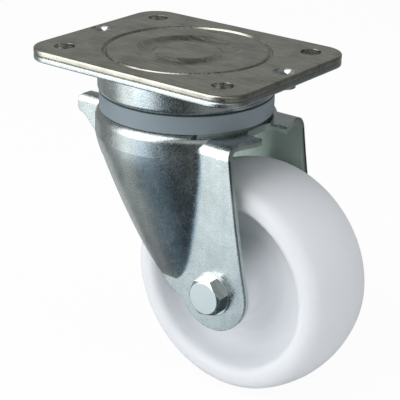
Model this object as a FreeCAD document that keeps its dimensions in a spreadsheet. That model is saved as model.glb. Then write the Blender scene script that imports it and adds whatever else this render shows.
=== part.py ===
import FreeCAD, Part
import Sketcher
import math
import os

# Swivel castor with a two-sheet top plate, a pressed fork and a solid wheel on rollers.
# Frame: +X is the side that the wheel trails to, +Y runs along the axle, +Z is up.
# The origin is the centre of the top plate's upper face, on the swivel axis.

# Driving dimensions, all in millimetres, angles in degrees, counts as plain numbers
SIZES = {
    # Neck of the lower sheet, whose radius the round pieces and the plate follow
    "neck_radius": 47.2,
    "neck_height": 14.8,
    "neck_bend": 2.0,
    "neck_foot_round": 2.5,
    # Top plate: two sheets of one outline, with these lands round the embossed centre
    "plate_end_land": 19.5,
    "plate_side_land": 6.0,
    "plate_corner": 14.7,
    "cover_sheet": 3.4,
    "base_sheet": 3.0,
    "cover_edge_round": 0.9,
    "base_edge_round": 0.9,
    "fixing_from_end": 16.0,
    "fixing_from_side": 15.5,
    "fixing_hole": 11.0,
    # Rivets with dished heads that hold the two sheets together
    "rivet_from_end": 7.0,
    "rivet_barrel": 11.0,
    "rivet_sink": 0.4,
    "rivet_dish": 10.0,
    "rivet_dish_depth": 3.0,
    "rivet_flange": 12.8,
    "rivet_flange_height": 1.2,
    # Embossing of the upper sheet
    "groove_inset": 3.7,
    "groove_half_width": 1.5,
    "groove_depth": 3.0,
    "groove_sheet": 2.5,
    "trough_outer_radius": 28.0,
    "trough_inner_radius": 16.0,
    "trough_wall_run": 3.4,
    "trough_depth": 2.2,
    "trough_round": 3.0,
    "centre_sink": 0.3,
    "groove_round": 0.7,
    # Dust ring between neck and fork
    "ring_inset": 0.7,
    "ring_wall": 3.2,
    "ring_gap": 0.4,
    "ring_round": 0.35,
    # Ball races
    "upper_ball": 11.0,
    "upper_ball_room": 1.8,
    "upper_ball_count": 14,
    "lower_ball": 8.0,
    "lower_ball_pitch": 20.0,
    "lower_ball_count": 12,
    "race_clearance": 0.2,
    "race_depth": 0.8,
    "cage_clearance": 0.15,
    "upper_cage_width": 14.0,
    "lower_cage_width": 10.4,
    "cage_sheet": 2.0,
    "lower_race_room": 1.0,
    "lower_race_height": 4.5,
    "lower_race_rim": 2.0,
    "lower_race_gap": 0.5,
    # Kingpin
    "kingpin_shoulder": 22.0,
    "kingpin_thread": 16.0,
    "kingpin_head_flats": 24.0,
    "kingpin_head_height": 9.0,
    "kingpin_face": 22.8,
    "kingpin_washer": 28.0,
    "kingpin_washer_sheet": 1.5,
    "kingpin_nut_height": 6.5,
    "kingpin_end": 1.5,
    "bore_clearance": 0.1,
    "kingpin_crown_gap": 2.5,
    "hexagon_chamfer": 30.0,
    # Wheel and its bearing
    "wheel_diameter": 125.0,
    "tread_half_width": 20.0,
    "tread_crown": 58.0,
    "rim_half_width": 25.0,
    "rim_shoulder": 7.5,
    "rim_round": 4.6,
    "recess_wall_run": 3.8,
    "dish_fillet": 11.0,
    "web_half_width": 9.0,
    "hub_foot_radius": 22.8,
    "hub_fillet": 9.0,
    "hub_face_radius": 18.8,
    "hub_half_length": 29.0,
    "hub_gap": 0.2,
    "sleeve_diameter": 20.0,
    "roller_diameter": 5.0,
    "roller_count": 12,
    "roller_end_room": 5.0,
    "roller_clearance": 0.2,
    "roller_cage_wall": 3.0,
    "roller_cage_end": 2.5,
    "thrust_washer": 33.0,
    "thrust_washer_sheet": 1.0,
    # Fork, pressed from one sheet: a round front, two flat sides, trailing ears and a split nose
    "fork_sheet": 3.8,
    "wrap_outset": 2.1,
    "wrap_shoulder": 4.4,
    "wrap_height": 13.0,
    "wrap_fade_drop": 69.6,
    "wrap_fade_start": 4.0,
    "wrap_fade_spare": 0.15,
    "wrap_lean_share": 0.415,
    "wrap_lean_power": 1.22,
    "wrap_fillet": 8.0,
    "leg_sections": 8,
    "ear_drop": 2.0,
    "ear_bend": 7.0,
    "ear_outset": 9.6,
    "ear_side_outset": 3.9,
    "ear_step_radius": 44.0,
    "ear_step_front": 31.0,
    "ear_notch_half_width": 11.5,
    "ear_notch_depth": 12.7,
    "ear_notch_round": 5.0,
    "nose_half_width": 16.75,
    "nose_outset": 14.2,
    "nose_bend": 4.2,
    "nose_slot_half_width": 9.6,
    "nose_slot_start": 1.0,
    "nose_fillet": 5.0,
    "nose_root": 3.6,
    "nose_corner": 3.5,
    "nose_lip": 7.5,
    "nose_lip_bow": 1.7,
    "nose_chin_back": 4.2,
    "nose_chin_drop": 13.0,
    "skirt_drop": 23.0,
    "skirt_reach": 25.5,
    "cut_margin": 1.0,
    # Leg outlines: shares of the way up from the foot, and bows off that straight line
    "foot_radius": 20.6,
    "foot_rear_angle": 12.0,
    "foot_front_angle": 205.3,
    "leg_rear_bow": 0.95,
    "leg_ankle_share": 0.175,
    "leg_ankle_bow": 5.7,
    "leg_shin_share": 0.42,
    "leg_shin_bow": 8.2,
    "leg_knee_share": 0.77,
    "leg_knee_bow": 6.1,
    # Axle
    "axle_inset": 2.2,
    "axle_drop": 115.0,
    "axle_thread": 12.0,
    "bolt_head_flats": 18.0,
    "bolt_head_height": 6.2,
    "bolt_face": 17.2,
    "bolt_turn": 42.3,
    "nut_height": 9.5,
    "nut_collar": 16.6,
    "nut_collar_height": 2.6,
    "nut_collar_wall": 1.15,
    "nut_insert_depth": 2.1,
    "bolt_end": 2.2,
    "axle_washer": 23.0,
    "axle_washer_sheet": 1.2,
    "axle_hole_clearance": 0.2,
}

# Two lengths closer than this count as one
NEAR = 1e-4

doc = FreeCAD.newDocument("SwivelCastor")
sheet = doc.addObject("Spreadsheet::Sheet", "Sizes")
for row, (name, value) in enumerate(SIZES.items(), start=1):
    sheet.set("A%d" % row, str(value))
    sheet.setAlias("A%d" % row, name)
doc.recompute()


class Size:
    """A length with its number and the expression over the sheet that gives it."""

    def __init__(self, value, text):
        self.value = float(value)
        self.text = text

    def join(self, other, sign, value):
        return Size(value, "(%s %s %s)" % (self.text, sign, other.text))

    def __add__(self, other):
        other = as_size(other)
        return self.join(other, "+", self.value + other.value)

    def __radd__(self, other):
        return as_size(other) + self

    def __sub__(self, other):
        other = as_size(other)
        return self.join(other, "-", self.value - other.value)

    def __rsub__(self, other):
        return as_size(other) - self

    def __mul__(self, other):
        other = as_size(other)
        return self.join(other, "*", self.value * other.value)

    def __rmul__(self, other):
        return as_size(other) * self

    def __truediv__(self, other):
        other = as_size(other)
        return self.join(other, "/", self.value / other.value)

    def __neg__(self):
        return Size(-self.value, "(0 - %s)" % self.text)


def as_size(number):
    """A plain number as a Size, and a Size as it is."""
    if isinstance(number, Size):
        return number
    return Size(number, "%g" % number)


class Named:
    """Gives each cell of the sheet as a Size, by its alias."""

    def __getattr__(self, name):
        return Size(float(sheet.get(name)), "Sizes.%s" % name)


v = Named()
ZERO = as_size(0)


# Levels and radii that several pieces share

plates_height = v.cover_sheet + v.base_sheet
groove_radius = v.neck_radius - v.groove_inset
emboss_radius = groove_radius + 3 * v.groove_half_width
plate_half_length = emboss_radius + v.plate_end_land
plate_half_width = emboss_radius + v.plate_side_land
fixing_half_long = plate_half_length - v.fixing_from_end
fixing_half_wide = plate_half_width - v.fixing_from_side
rivet_half_pitch = plate_half_length - v.rivet_from_end
ring_radius = v.neck_radius - v.ring_inset
upper_ball_pitch = ring_radius - v.ring_wall - v.upper_ball_room - v.upper_ball / 2
neck_inner_radius = v.neck_radius - v.base_sheet
neck_floor_top = -(plates_height + v.neck_height - v.base_sheet)
neck_foot = -(plates_height + v.neck_height)
upper_seat_radius = v.upper_ball / 2 + v.race_clearance
upper_race_gap = 2 * (upper_seat_radius - v.race_depth)
upper_ball_level = neck_foot - upper_race_gap / 2
crown_top = neck_foot - upper_race_gap
crown_underside = crown_top - v.fork_sheet
lower_seat_radius = v.lower_ball / 2 + v.race_clearance
lower_race_gap = 2 * (lower_seat_radius - v.race_depth)
lower_ball_level = crown_underside - lower_race_gap / 2
lower_race_top = crown_underside - lower_race_gap
lower_race_foot = lower_race_top - v.lower_race_height
lower_race_rim_inner = v.lower_ball_pitch + v.lower_cage_width / 2 + v.lower_race_room
lower_race_radius = lower_race_rim_inner + v.lower_race_rim
wrap_radius = ring_radius + v.wrap_outset
swivel_offset = v.neck_radius - v.axle_inset
axle_level = -v.axle_drop
leg_inner = v.hub_half_length + v.hub_gap + v.thrust_washer_sheet
fork_half_width = leg_inner + v.fork_sheet
sleeve_radius = v.sleeve_diameter / 2
roller_pitch = sleeve_radius + v.roller_clearance + v.roller_diameter / 2
hub_bore_radius = sleeve_radius + 2 * v.roller_clearance + v.roller_diameter
roller_half_length = v.hub_half_length - v.roller_end_room
collar_bore_radius = v.nut_collar / 2 - v.nut_collar_wall
parts = []


def bind(thing, prop, size):
    """Ties one property of an object to an expression over the sheet."""
    thing.setExpression(prop, as_size(size).text)


def place(thing, along_x=ZERO, along_y=ZERO, along_z=ZERO):
    """Puts an object at a point given by sizes."""
    for axis, size in (("x", along_x), ("y", along_y), ("z", along_z)):
        bind(thing, "Placement.Base.%s" % axis, size)


def new_body(label):
    """An empty body whose label is the name of its node."""
    body = doc.addObject("PartDesign::Body", label)
    body.Label = label
    body.AllowCompound = True
    parts.append(body)
    return body


def role(body, name):
    """One of the origin planes or axes of a body, by its role."""
    return [item for item in body.Origin.OriginFeatures if item.Role == name][0]


def new_sketch(body, name, plane, height=ZERO):
    """An empty sketch on an origin plane of the body, lifted along the plane's normal."""
    sketch = body.newObject("Sketcher::SketchObject", "%s_%s" % (body.Label, name))
    sketch.AttachmentSupport = [(role(body, plane), "")]
    sketch.MapMode = "FlatFace"
    bind(sketch, "AttachmentOffset.Base.z", height)
    return sketch


def pin_point(sketch, edge, end, across, up):
    """Fixes one point of a sketch by its two distances from the sketch's origin."""
    for kind, axis, size in (("DistanceX", -2, across), ("DistanceY", -1, up)):
        if size.text == "0":
            sketch.addConstraint(Sketcher.Constraint("PointOnObject", edge, end, axis))
        else:
            index = sketch.addConstraint(Sketcher.Constraint(kind, -1, 1, edge, end, size.value))
            bind(sketch, "Constraints[%d]" % index, size)


def add_outline(sketch, corners):
    """A closed outline. Each corner is (across, up), or (across, up, radius) where the stretch that
    leads to the next corner is an arc: it bends to the left with a radius above zero, else right."""
    corners = [tuple(as_size(size) for size in corner) for corner in corners]
    first = sketch.GeometryCount
    count = len(corners)
    for index, corner in enumerate(corners):
        follower = corners[(index + 1) % count]
        start = FreeCAD.Vector(corner[0].value, corner[1].value, 0)
        end = FreeCAD.Vector(follower[0].value, follower[1].value, 0)
        line = Part.LineSegment(start, end)
        if len(corner) == 2:
            sketch.addGeometry(line, False)
            continue
        radius = abs(corner[2].value)
        turn = math.copysign(1.0, corner[2].value)
        half = (end - start) / 2
        left = FreeCAD.Vector(-half.y, half.x, 0).normalize()
        depth = math.sqrt(max(radius ** 2 - half.Length ** 2, 0.0))
        middle = (start + end) / 2 + left * turn * (depth - radius)
        sketch.addGeometry(Part.Arc(start, middle, end), False)
    for index, corner in enumerate(corners):
        edge = first + index
        before = first + (index - 1) % count
        start_end, stop_end = stretch_ends(sketch, edge, corner)
        before_stop = stretch_ends(sketch, before, corners[index - 1])[1]
        sketch.addConstraint(Sketcher.Constraint("Coincident", before, before_stop, edge, start_end))
        pin_point(sketch, edge, start_end, corner[0], corner[1])
        if len(corner) == 3:
            size = corner[2] if corner[2].value > 0 else -corner[2]
            made = sketch.addConstraint(Sketcher.Constraint("Radius", edge, size.value))
            bind(sketch, "Constraints[%d]" % made, size)


def stretch_ends(sketch, edge, corner):
    """Which end of a stretch comes first along the outline: an arc's points always run to the left."""
    if len(corner) == 2:
        return 1, 2
    start = sketch.getPoint(edge, 1)
    near = abs(start.x - corner[0].value) + abs(start.y - corner[1].value)
    return (1, 2) if near < NEAR else (2, 1)


def add_circle(sketch, across, up, radius):
    """A circle fixed by its centre and its radius."""
    across, up, radius = as_size(across), as_size(up), as_size(radius)
    centre = FreeCAD.Vector(across.value, up.value, 0)
    edge = sketch.addGeometry(Part.Circle(centre, FreeCAD.Vector(0, 0, 1), radius.value), False)
    pin_point(sketch, edge, 3, across, up)
    made = sketch.addConstraint(Sketcher.Constraint("Radius", edge, radius.value))
    bind(sketch, "Constraints[%d]" % made, radius)


def add_half_disc(sketch, radius):
    """The half of a disc that lies to the right of the sketch's upright axis."""
    middle = FreeCAD.Vector(0, 0, 0)
    circle = Part.Circle(middle, FreeCAD.Vector(0, 0, 1), radius.value)
    quarter = math.pi / 2
    arc = sketch.addGeometry(Part.ArcOfCircle(circle, -quarter, quarter), False)
    top = FreeCAD.Vector(0, radius.value, 0)
    line = sketch.addGeometry(Part.LineSegment(top, -top), False)
    sketch.addConstraint(Sketcher.Constraint("Coincident", arc, 3, -1, 1))
    sketch.addConstraint(Sketcher.Constraint("Coincident", arc, 2, line, 1))
    sketch.addConstraint(Sketcher.Constraint("Coincident", arc, 1, line, 2))
    sketch.addConstraint(Sketcher.Constraint("PointOnObject", arc, 1, -2))
    sketch.addConstraint(Sketcher.Constraint("PointOnObject", arc, 2, -2))
    made = sketch.addConstraint(Sketcher.Constraint("Radius", arc, radius.value))
    bind(sketch, "Constraints[%d]" % made, radius)


def add_rounded_rectangle(sketch, half_long, half_wide, radius):
    """A rectangle about the sketch's origin with four rounded corners."""
    inner_long = half_long - radius
    inner_wide = half_wide - radius
    add_outline(sketch, [
        (-inner_long, -half_wide), (inner_long, -half_wide, radius),
        (half_long, -inner_wide), (half_long, inner_wide, radius),
        (inner_long, half_wide), (-inner_long, half_wide, radius),
        (-half_long, inner_wide), (-half_long, -inner_wide, radius),
    ])


def add_hexagon(sketch, flats, turn):
    """A regular hexagon about the sketch's origin, with a side's normal at the given angle."""
    corner = flats / (2 * math.cos(math.pi / 6))
    angles = [math.radians(turn + 30 + 60 * step) for step in range(6)]
    add_outline(sketch, [(corner * math.cos(angle), corner * math.sin(angle)) for angle in angles])


def pad(body, sketch, length, backwards=False):
    """A pad of a sketch along its normal, or against it."""
    feature = body.newObject("PartDesign::Pad", "%s_pad" % sketch.Label)
    feature.Profile = sketch
    feature.Reversed = backwards
    bind(feature, "Length", length)
    return feature


def pocket_through(body, sketch):
    """A pocket through the whole body, both ways from the sketch."""
    before = solid_volume(body)
    feature = body.newObject("PartDesign::Pocket", "%s_pocket" % sketch.Label)
    feature.Profile = sketch
    feature.SideType = "Symmetric"
    feature.Type = "ThroughAll"
    expect_less(body, before, feature)
    return feature


def turned(body, sketch):
    """A revolution of a sketch about its own upright axis."""
    feature = body.newObject("PartDesign::Revolution", "%s_turned" % sketch.Label)
    feature.Profile = sketch
    feature.ReferenceAxis = (sketch, ["V_Axis"])
    return feature


def turned_cut(body, sketch):
    """A groove cut by a sketch about its own upright axis."""
    before = solid_volume(body)
    feature = body.newObject("PartDesign::Groove", "%s_groove" % sketch.Label)
    feature.Profile = sketch
    feature.ReferenceAxis = (sketch, ["V_Axis"])
    expect_less(body, before, feature)
    return feature


def solid_volume(body):
    """The volume of a body as it stands."""
    doc.recompute()
    return body.Shape.Volume


def expect_less(body, before, feature):
    """Stops the build where a cut has taken nothing away."""
    doc.recompute()
    if body.Shape.Volume > before - NEAR:
        raise ValueError("%s cuts nothing" % feature.Label)


def fillet(body, radius, wanted):
    """Rounds the edges of the body that the given test picks."""
    doc.recompute()
    base = body.Tip
    names = ["Edge%d" % (at + 1) for at, edge in enumerate(base.Shape.Edges) if wanted(edge)]
    if not names:
        raise ValueError("no edge to round on %s" % body.Label)
    feature = body.newObject("PartDesign::Fillet", "%s_fillet" % body.Label)
    feature.Base = (base, names)
    bind(feature, "Radius", radius)
    return feature


def around(body, features, axis, count):
    """Repeats features of a body evenly about one of its origin axes."""
    doc.recompute()
    pattern = body.newObject("PartDesign::PolarPattern", "%s_pattern" % body.Label)
    pattern.Originals = features
    pattern.Axis = (role(body, axis), [""])
    pattern.Angle = 360
    bind(pattern, "Occurrences", count)
    body.Tip = pattern


def mirrored(body, features, plane):
    """Repeats features of a body on the other side of one of its origin planes."""
    doc.recompute()
    mirror = body.newObject("PartDesign::Mirrored", "%s_mirror" % body.Label)
    mirror.Originals = features
    mirror.MirrorPlane = (role(body, plane), [""])
    body.Tip = mirror


def at_level(edge, level):
    """Whether an edge lies flat at the given height."""
    box = edge.BoundBox
    return abs(box.ZMin - level) < NEAR and abs(box.ZMax - level) < NEAR


def circle_about(edge, axis):
    """The radius and the level of an edge that is a circle about an origin axis, else None."""
    if not isinstance(edge.Curve, Part.Circle):
        return None
    centre = edge.Curve.Center
    level = centre.dot(axis)
    if (centre - axis * level).Length > NEAR or edge.Curve.Axis.cross(axis).Length > NEAR:
        return None
    return edge.Curve.Radius, level


def fixing_holes(body, name):
    """The four mounting holes, through the body."""
    holes = new_sketch(body, name, "XY_Plane")
    for side_x in (-1, 1):
        for side_y in (-1, 1):
            add_circle(holes, fixing_half_long * side_x, fixing_half_wide * side_y, v.fixing_hole / 2)
    pocket_through(body, holes)


def rivet_holes(body, name):
    """The two holes that take the rivet barrels."""
    holes = new_sketch(body, name, "XY_Plane")
    for side in (-1, 1):
        add_circle(holes, rivet_half_pitch * side, ZERO, v.rivet_barrel / 2)
    pocket_through(body, holes)


def plate_sheet(label, sheet_height, opening):
    """One sheet of the top plate, its upper face at the body's own zero level."""
    body = new_body(label)
    rim = new_sketch(body, "rim", "XY_Plane")
    add_rounded_rectangle(rim, plate_half_length, plate_half_width, v.plate_corner)
    add_circle(rim, ZERO, ZERO, opening)
    pad(body, rim, sheet_height, backwards=True)
    return body


def round_rim(body, sheet_height, radius):
    """Rounds the outer edges of a plate sheet, above and below."""

    def outer_edge(edge):
        box = edge.BoundBox
        level = at_level(edge, 0.0) or at_level(edge, -sheet_height.value)
        on_end = max(box.XMax, -box.XMin) > plate_half_length.value - NEAR
        on_side = max(box.YMax, -box.YMin) > plate_half_width.value - NEAR
        return level and (on_end or on_side)

    fillet(body, radius, outer_edge)


def make_top_plate():
    """The embossed upper sheet: a flat rim and a pressed centre turned about the swivel axis."""
    body = plate_sheet("top_plate", v.cover_sheet, emboss_radius)
    centre = new_sketch(body, "centre", "XZ_Plane")
    under = v.centre_sink + v.cover_sheet
    floor = v.centre_sink + v.trough_depth
    run = v.trough_wall_run
    groove_run = v.groove_half_width
    groove_out = groove_radius + v.groove_half_width
    groove_in = groove_radius - v.groove_half_width
    ridge = v.groove_depth + v.groove_sheet
    add_outline(centre, [
        (ZERO, -v.centre_sink), (v.trough_inner_radius, -v.centre_sink),
        (v.trough_inner_radius + run, -floor), (v.trough_outer_radius - run, -floor),
        (v.trough_outer_radius, -v.centre_sink), (groove_in, -v.centre_sink),
        (groove_radius, -v.groove_depth), (groove_out, ZERO), (emboss_radius, ZERO),
        (emboss_radius, -v.cover_sheet), (groove_out + groove_run, -v.cover_sheet),
        (groove_radius + v.groove_half_width / 2, -ridge),
        (groove_radius - v.groove_half_width / 2, -ridge),
        (groove_in - groove_run, -under), (v.trough_outer_radius + run, -under),
        (v.trough_outer_radius, -floor - v.cover_sheet),
        (v.trough_inner_radius, -floor - v.cover_sheet),
        (v.trough_inner_radius - run, -under), (ZERO, -under),
    ])
    turned(body, centre)
    fixing_holes(body, "fixing")
    rivet_holes(body, "rivets")
    round_rim(body, v.cover_sheet, v.cover_edge_round)

    def pressed_edge(edge, inner, outer):
        ring = circle_about(edge, FreeCAD.Vector(0, 0, 1))
        upper = ring and ring[1] > NEAR - v.cover_sheet.value
        return upper and inner.value - NEAR < ring[0] < outer.value + NEAR

    fillet(body, v.trough_round,
           lambda edge: pressed_edge(edge, v.trough_inner_radius, v.trough_outer_radius))
    fillet(body, v.groove_round, lambda edge: pressed_edge(edge, groove_in, groove_out))


def make_bearing_plate():
    """The lower sheet, drawn down into a neck whose floor carries the upper race."""
    opening = v.neck_radius + v.neck_bend
    body = plate_sheet("bearing_plate", v.base_sheet, opening)
    place(body, along_z=-v.cover_sheet)
    neck = new_sketch(body, "neck", "XZ_Plane")
    bend_foot = v.base_sheet + v.neck_bend
    floor_top = v.neck_height
    foot = v.neck_height + v.base_sheet
    hole = v.kingpin_shoulder / 2 + v.bore_clearance
    add_outline(neck, [
        (opening, ZERO, bend_foot), (neck_inner_radius, -bend_foot),
        (neck_inner_radius, -floor_top), (hole, -floor_top), (hole, -foot),
        (v.neck_radius - v.neck_foot_round, -foot, v.neck_foot_round),
        (v.neck_radius, -foot + v.neck_foot_round), (v.neck_radius, -bend_foot, -v.neck_bend),
        (opening, -v.base_sheet),
    ])
    turned(body, neck)
    race = new_sketch(body, "race", "XZ_Plane")
    add_circle(race, upper_ball_pitch, upper_ball_level + v.cover_sheet, upper_seat_radius)
    turned_cut(body, race)
    fixing_holes(body, "fixing")
    rivet_holes(body, "rivets")
    round_rim(body, v.base_sheet, v.base_edge_round)


def make_plate_rivets():
    """Two rivets through both sheets, each with a dished head and a flange below."""
    body = new_body("plate_rivets")
    place(body, along_z=-v.rivet_sink)
    half = new_sketch(body, "half", "XZ_Plane")
    bind(half, "AttachmentOffset.Base.x", rivet_half_pitch)
    rim = v.rivet_dish / 2
    depth = v.rivet_dish_depth
    bowl = (rim * rim + depth * depth) / (2 * depth)
    shank = plates_height - v.rivet_sink
    foot = shank + v.rivet_flange_height
    add_outline(half, [
        (ZERO, -depth, bowl), (rim, ZERO), (v.rivet_barrel / 2, ZERO), (v.rivet_barrel / 2, -shank),
        (v.rivet_flange / 2, -shank), (v.rivet_flange / 2, -foot), (ZERO, -foot),
    ])
    rivet = turned(body, half)
    mirrored(body, [rivet], "YZ_Plane")


def make_balls(label, diameter, pitch, count, level):
    """A full ring of separate balls about the swivel axis."""
    body = new_body(label)
    place(body, along_z=level)
    half_disc = new_sketch(body, "half_disc", "XZ_Plane")
    bind(half_disc, "AttachmentOffset.Base.x", pitch)
    add_half_disc(half_disc, diameter / 2)
    ball = turned(body, half_disc)
    around(body, [ball], "Z_Axis", count)


def make_ball_cage(label, diameter, pitch, count, level, width):
    """A flat ring with a round pocket for each ball."""
    body = new_body(label)
    place(body, along_z=level)
    ring = new_sketch(body, "ring", "XY_Plane", -v.cage_sheet / 2)
    add_circle(ring, ZERO, ZERO, pitch + width / 2)
    add_circle(ring, ZERO, ZERO, pitch - width / 2)
    pad(body, ring, v.cage_sheet)
    seat = new_sketch(body, "seat", "XY_Plane")
    add_circle(seat, pitch, ZERO, diameter / 2 + v.cage_clearance)
    hole = pocket_through(body, seat)
    around(body, [hole], "Z_Axis", count)


def make_lower_race():
    """The loose race under the crown, with a rim that covers the lower balls."""
    body = new_body("lower_race")
    place(body, along_z=lower_race_top)
    disc = new_sketch(body, "disc", "XY_Plane")
    add_circle(disc, ZERO, ZERO, lower_race_radius)
    add_circle(disc, ZERO, ZERO, v.kingpin_thread / 2)
    pad(body, disc, v.lower_race_height, backwards=True)
    rim = new_sketch(body, "rim", "XY_Plane")
    add_circle(rim, ZERO, ZERO, lower_race_radius)
    add_circle(rim, ZERO, ZERO, lower_race_rim_inner)
    pad(body, rim, lower_race_gap - v.lower_race_gap)
    race = new_sketch(body, "race", "XZ_Plane")
    add_circle(race, v.lower_ball_pitch, lower_ball_level - lower_race_top, lower_seat_radius)
    turned_cut(body, race)


def make_dust_ring():
    """The grey ring that stands on the crown and closes the upper race."""
    body = new_body("seal_ring")
    place(body, along_z=crown_top)
    wall = new_sketch(body, "wall", "XY_Plane")
    add_circle(wall, ZERO, ZERO, ring_radius)
    add_circle(wall, ZERO, ZERO, ring_radius - v.ring_wall)
    pad(body, wall, upper_race_gap - v.ring_gap)

    def outer_edge(edge):
        ring = circle_about(edge, FreeCAD.Vector(0, 0, 1))
        return ring and ring[0] > ring_radius.value - NEAR

    fillet(body, v.ring_round, outer_edge)


def chamfer_corners(body, name, plane, flats, face_flat, face_level, outwards):
    """Turns the corners of a hexagon down to a round face at the given level."""
    cone = new_sketch(body, name, plane)
    slope = math.tan(math.radians(SIZES["hexagon_chamfer"]))
    drop = (flats - face_flat / 2) * slope * outwards
    corners = [(face_flat / 2, face_level), (flats, face_level - drop), (flats, face_level)]
    if outwards < 0:
        corners.reverse()
    add_outline(cone, corners)
    turned_cut(body, cone)


def make_kingpin():
    """The kingpin: a hexagon head in the neck, a shoulder through the crown and a thread below."""
    body = new_body("kingpin")
    place(body, along_z=neck_floor_top)
    head = new_sketch(body, "head", "XY_Plane")
    add_hexagon(head, v.kingpin_head_flats, 0)
    pad(body, head, v.kingpin_head_height)
    chamfer_corners(body, "corners", "XZ_Plane", v.kingpin_head_flats, v.kingpin_face,
                    v.kingpin_head_height, 1)
    shank = new_sketch(body, "shank", "XZ_Plane")
    shoulder_end = lower_race_top - neck_floor_top
    below = v.lower_race_height + v.kingpin_washer_sheet + v.kingpin_nut_height + v.kingpin_end
    tip = shoulder_end - below
    add_outline(shank, [
        (ZERO, ZERO), (ZERO, tip), (v.kingpin_thread / 2 - v.kingpin_end, tip),
        (v.kingpin_thread / 2, tip + v.kingpin_end), (v.kingpin_thread / 2, shoulder_end),
        (v.kingpin_shoulder / 2, shoulder_end), (v.kingpin_shoulder / 2, ZERO),
    ])
    turned(body, shank)


def make_kingpin_washer():
    """The washer between the lower race and the kingpin nut."""
    body = new_body("kingpin_washer")
    place(body, along_z=lower_race_foot)
    ring = new_sketch(body, "ring", "XY_Plane")
    add_circle(ring, ZERO, ZERO, v.kingpin_washer / 2)
    add_circle(ring, ZERO, ZERO, v.kingpin_thread / 2)
    pad(body, ring, v.kingpin_washer_sheet, backwards=True)


def make_kingpin_nut():
    """The thin nut that closes the two races."""
    body = new_body("kingpin_nut")
    place(body, along_z=lower_race_foot - v.kingpin_washer_sheet)
    block = new_sketch(body, "block", "XY_Plane")
    add_hexagon(block, v.kingpin_head_flats, 0)
    add_circle(block, ZERO, ZERO, v.kingpin_thread / 2)
    pad(body, block, v.kingpin_nut_height, backwards=True)
    chamfer_corners(body, "corners", "XZ_Plane", v.kingpin_head_flats, v.kingpin_face,
                    -v.kingpin_nut_height, -1)


def plan_profile(half_width, radius, fillet_radius, lean, rear, level, front=False):
    """One closed plan outline of the fork: two flat sides that run into a round front.
    The round front is a circle about (lean, 0). A concave arc joins it to each flat side and
    touches both. With front set, the same outline opens towards the front instead."""
    off_axis = half_width + fillet_radius
    along = math.sqrt((radius + fillet_radius) ** 2 - off_axis ** 2)
    share = radius / (radius + fillet_radius)
    touch_x, touch_y = along * share, off_axis * share
    half_turn = (math.pi / 2 - math.atan2(off_axis, along)) / 2
    near_x = along - fillet_radius * math.sin(half_turn)
    near_y = off_axis - fillet_radius * math.cos(half_turn)
    far = abs(rear - lean)
    turn = -1.0 if front else 1.0

    def at(x, y):
        return FreeCAD.Vector(lean + x * turn, y, level)

    edges = [
        Part.makeLine(at(far, -half_width), at(along, -half_width)),
        Part.Arc(at(along, -half_width), at(near_x, -near_y), at(touch_x, -touch_y)).toShape(),
        Part.Arc(at(touch_x, -touch_y), at(-radius, 0), at(touch_x, touch_y)).toShape(),
        Part.Arc(at(touch_x, touch_y), at(near_x, near_y), at(along, half_width)).toShape(),
        Part.makeLine(at(along, half_width), at(far, half_width)),
        Part.makeLine(at(far, half_width), at(far, -half_width)),
    ]
    return Part.Wire(edges)


def rolled_channel(half_width, radius, fillet_radius, rear, top, height, bend, front=False):
    """A block with the fork's plan outline whose two long upper edges are rolled over."""
    wire = plan_profile(half_width, radius, fillet_radius, 0.0, rear, top - height, front)
    block = Part.Face(wire).extrude(FreeCAD.Vector(0, 0, height))
    side = -1.0 if front else 1.0

    def long_edge(edge):
        box = edge.BoundBox
        outside = min(abs(box.YMin), abs(box.YMax)) > half_width - NEAR
        return at_level(edge, top) and outside and max(side * box.XMax, side * box.XMin) > 0

    return block.makeFillet(bend, [edge for edge in block.Edges if long_edge(edge)])


def fork_form(inset):
    """The solid form of the fork's outer face, or of its inner face at one sheet's depth."""
    half_width = fork_half_width.value - inset
    radius = wrap_radius.value - inset
    fillet_radius = v.wrap_fillet.value + inset
    top = crown_top.value - inset
    rear = radius + v.ear_outset.value + v.foot_radius.value
    wrap_foot = crown_top.value - v.wrap_height.value
    shoulder = v.wrap_shoulder.value - inset
    disc = Part.makeCylinder(radius, top - wrap_foot, FreeCAD.Vector(0, 0, wrap_foot))
    if shoulder > 0:
        disc = disc.makeFillet(shoulder, [edge for edge in disc.Edges if at_level(edge, top)])
    ears_top = top - v.ear_drop.value
    height = ears_top - wrap_foot
    ears = rolled_channel(half_width, radius, fillet_radius, rear, ears_top, height,
                          v.ear_bend.value - inset)
    nose_half = v.nose_half_width.value - inset
    nose_rear = -(wrap_radius.value + v.nose_outset.value + inset)
    nose_height = v.skirt_drop.value - inset - v.ear_drop.value
    nose = rolled_channel(nose_half, radius - v.nose_root.value,
                          v.nose_fillet.value + v.nose_root.value + inset, nose_rear, ears_top,
                          nose_height, v.nose_bend.value - inset, front=True)
    return disc, ears, nose, leg_form(half_width, radius, fillet_radius, rear, wrap_foot)


def leg_form(half_width, radius, fillet_radius, rear, wrap_foot):
    """The fork below its round front: the round shrinks and leans back until the flats take over."""
    start = v.wrap_fade_start.value
    depth_end = v.wrap_fade_drop.value
    spare = radius - half_width - v.wrap_fade_spare.value
    taper = spare / (math.hypot(depth_end, start) - start)
    lean_end = swivel_offset.value * v.wrap_lean_share.value
    last = int(v.leg_sections.value) - 1
    wires = []
    for step in range(last + 1):
        depth = depth_end * step / last
        shrink = taper * (math.hypot(depth, start) - start)
        lean = lean_end * (depth / depth_end) ** v.wrap_lean_power.value
        wires.append(plan_profile(half_width, radius - shrink, fillet_radius, lean, rear,
                                  wrap_foot - depth))
    legs = Part.makeLoft(wires, True, False)
    foot = v.axle_drop.value + v.foot_radius.value + v.cut_margin.value + wrap_foot
    down = FreeCAD.Vector(0, 0, depth_end - foot)
    return legs.fuse(Part.Face(wires[-1]).extrude(down))


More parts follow.
